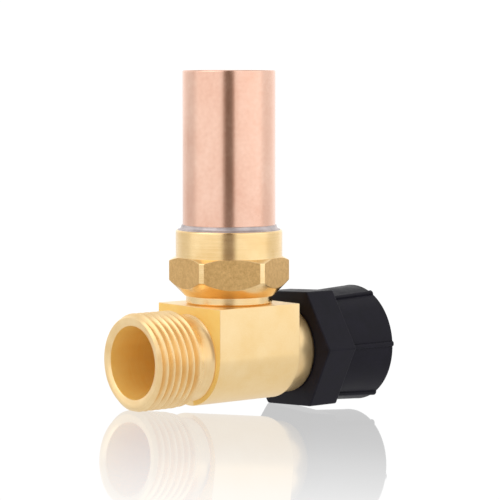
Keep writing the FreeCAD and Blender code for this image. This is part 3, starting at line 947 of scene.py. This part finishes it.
# The floor's half size is in metres and its other distances are in mm. Its roughness has no unit,
# and the rest are strengths.
FLOOR_HALF_SIZE = 6.0
FLOOR_CONTACT_X = 4.0
FLOOR_ROUGHNESS = 0.03
FLOOR_MIRROR_NEAR = 20.0
FLOOR_MIRROR_FAR = 320.0
FLOOR_MIRROR = 0.38
FLOOR_BASE = 0.56
FLOOR_WHITE = 1.05
FLOOR_BOUNCE = 0.62
FLOOR_HORIZON = 0.82
FLOOR_EVEN_NEAR = 130.0
FLOOR_EVEN_FAR = 380.0

DARK_GAP = (math.radians(7), math.radians(19))
GAP_LEVEL = 0.22
GAP_COLOUR = (1, 0.76, 0.6, 1)
WHITE = (1, 1, 1, 1)
STUDIO_LEVEL = 1.32
SIDE_DIP = (math.radians(80), math.radians(100))
SIDE_DIP_DEPTH = 0.33
BACK_RISE = (math.radians(115), math.radians(150))
BACK_RISE_HEIGHT = 0.2
OVERHEAD = (0.2, 0.95)
OVERHEAD_LEVEL = 0.75


def camera_axes(azimuth, elevation):
    """Unit vectors to the right, up and back from the object to the camera."""
    right = Vector((math.cos(azimuth), math.sin(azimuth), 0))
    back = Vector((
        math.sin(azimuth) * math.cos(elevation),
        -math.cos(azimuth) * math.cos(elevation),
        math.sin(elevation),
    ))
    return right, back.cross(right), back


def add_camera():
    """Camera level with the top of the chamber, close to the photo's view."""
    right, up, back = camera_axes(CAMERA_AZIMUTH, CAMERA_ELEVATION)
    data = bpy.data.cameras.new("camera")
    data.lens = CAMERA_LENS
    data.sensor_width = CAMERA_SENSOR
    data.clip_start = 0.01
    camera = bpy.data.objects.new("camera", data)
    bpy.context.scene.collection.objects.link(camera)
    place = (right * CAMERA_RIGHT + up * CAMERA_UP + back * CAMERA_DISTANCE) * MM
    turn = Matrix((right, up, back)).transposed().to_4x4()
    camera.matrix_world = Matrix.Translation(place) @ turn
    bpy.context.scene.camera = camera


def add_floor():
    """White glossy sheet that the male end and the nut both touch."""
    contact_low = Vector((tee_low[0] + FLOOR_CONTACT_X, 0, -MALE_CREST_R)) * MM
    contact_high = Vector((NUT_NEAR_X, 0, nut_low[2])) * MM
    slope = (contact_high - contact_low).normalized()
    across = Vector((0, 1, 0))
    work = bmesh.new()
    corners = []
    for a, b in ((-1, -1), (1, -1), (1, 1), (-1, 1)):
        corners.append(work.verts.new(contact_low + (slope * a + across * b) * FLOOR_HALF_SIZE))
    work.faces.new(corners)
    mesh = bpy.data.meshes.new("floor")
    work.to_mesh(mesh)
    work.free()
    floor = bpy.data.objects.new("floor", mesh)
    bpy.context.scene.collection.objects.link(floor)
    mesh.materials.append(floor_sheet("floor_white"))


def studio_level(n):
    """Colour, level and height of the light by direction round the object.

    It is dark and warm behind the camera, dimmer past the sides, and a little brighter again at
    the back.
    """
    split = n.add("ShaderNodeSeparateXYZ", {0: n.place})
    _, _, back = camera_axes(CAMERA_AZIMUTH, 0)
    x, y = split.outputs["X"], split.outputs["Y"]
    along = n.math("ADD", n.math("MULTIPLY", x, back.x), n.math("MULTIPLY", y, back.y))
    across = n.math("ADD", n.math("MULTIPLY", x, -back.y), n.math("MULTIPLY", y, back.x))
    off_axis = n.math("ABSOLUTE", n.math("ARCTAN2", across, along))
    level = n.ramp(off_axis, *DARK_GAP, GAP_LEVEL, STUDIO_LEVEL, "SMOOTHSTEP")
    colour = n.mix(n.ramp(off_axis, *DARK_GAP, 0.0, 1.0, "SMOOTHSTEP"), GAP_COLOUR, WHITE)
    dip = n.ramp(off_axis, *SIDE_DIP, 0.0, SIDE_DIP_DEPTH, "SMOOTHSTEP")
    rise = n.ramp(off_axis, *BACK_RISE, 0.0, BACK_RISE_HEIGHT, "SMOOTHSTEP")
    level = n.math("ADD", n.math("SUBTRACT", level, dip), rise)
    return colour, level, split.outputs["Z"]


def floor_sheet(name):
    """White acrylic: a faint mirror near the object that fades to plain white away from it.

    The camera sees that. To every other ray the floor is an even glow near the object, and takes
    the studio's levels further out.
    """
    n = new_material(name)
    n.tree.nodes.remove(n.shader)
    distance = n.add("ShaderNodeVectorMath", {0: n.place}, operation="LENGTH").outputs["Value"]
    waver = n.ramp(n.noise(12.0), 0.0, 1.0, -0.01, 0.01)
    near, far = FLOOR_MIRROR_NEAR * MM, FLOOR_MIRROR_FAR * MM
    fade = n.ramp(n.math("ADD", distance, waver), near, far, 0.0, 1.0, "SMOOTHSTEP")
    base = n.add("ShaderNodeEmission", {"Strength": FLOOR_BASE}).outputs[0]
    mirror_colour = (FLOOR_MIRROR, FLOOR_MIRROR, FLOOR_MIRROR, 1)
    gloss = {"Color": mirror_colour, "Roughness": FLOOR_ROUGHNESS}
    shine = n.add("ShaderNodeBsdfGlossy", gloss).outputs[0]
    mirror = n.add("ShaderNodeAddShader", {0: base, 1: shine}).outputs[0]
    white = n.add("ShaderNodeEmission", {"Strength": FLOOR_WHITE}).outputs[0]
    seen = n.add("ShaderNodeMixShader", {0: fade, 1: mirror, 2: white}).outputs[0]
    colour, level, _ = studio_level(n)
    even_near, even_far = FLOOR_EVEN_NEAR * MM, FLOOR_EVEN_FAR * MM
    outer = n.ramp(distance, even_near, even_far, 0.0, 1.0, "SMOOTHSTEP")
    uneven = n.math("MULTIPLY", n.math("SUBTRACT", level, STUDIO_LEVEL), outer)
    share = n.ramp(outer, 0.0, 1.0, FLOOR_BOUNCE, FLOOR_HORIZON)
    strength = n.math("MULTIPLY", n.math("ADD", uneven, STUDIO_LEVEL), share)
    tint = n.mix(outer, WHITE, colour)
    bounce = n.add("ShaderNodeEmission", {"Color": tint, "Strength": strength}).outputs[0]
    by_camera = n.add("ShaderNodeLightPath").outputs["Is Camera Ray"]
    final = n.add("ShaderNodeMixShader", {0: by_camera, 1: bounce, 2: seen}).outputs[0]
    n.tree.links.new(final, n.tree.nodes["Material Output"].inputs["Surface"])
    return n.owner


def add_world():
    """White studio: the camera sees plain white, and the object is lit by the studio's levels."""
    world = bpy.data.worlds.new("studio")
    bpy.context.scene.world = world
    n = Nodes(world, "Generated")
    colour, level, height = studio_level(n)
    overhead = n.ramp(height, *OVERHEAD, 1.0, OVERHEAD_LEVEL, "SMOOTHSTEP")
    strength = n.math("MULTIPLY", level, overhead)
    lit = n.add("ShaderNodeBackground", {"Color": colour, "Strength": strength}).outputs[0]
    white = n.add("ShaderNodeBackground", {"Color": WHITE, "Strength": FLOOR_WHITE}).outputs[0]
    by_camera = n.add("ShaderNodeLightPath").outputs["Is Camera Ray"]
    final = n.add("ShaderNodeMixShader", {0: by_camera, 1: lit, 2: white}).outputs[0]
    n.tree.links.new(final, n.tree.nodes["World Output"].inputs["Surface"])


def add_softbox(name, azimuth, elevation, distance, size, power):
    """Large square light that faces the object; angles in degrees, distances in metres."""
    _, _, back = camera_axes(math.radians(azimuth), math.radians(elevation))
    data = bpy.data.lights.new(name, "AREA")
    data.shape = "SQUARE"
    data.size = size
    data.energy = power
    light = bpy.data.objects.new(name, data)
    bpy.context.scene.collection.objects.link(light)
    light.location = back * distance
    light.rotation_mode = "QUATERNION"
    light.rotation_quaternion = back.to_track_quat("Z", "Y")


add_camera()
add_floor()
add_world()
add_softbox("softbox_right", azimuth=40, elevation=35, distance=1.2, size=0.7, power=0.3)
add_softbox("softbox_left", azimuth=-95, elevation=45, distance=1.2, size=0.9, power=2.0)
bpy.context.scene.view_settings.view_transform = "Standard"
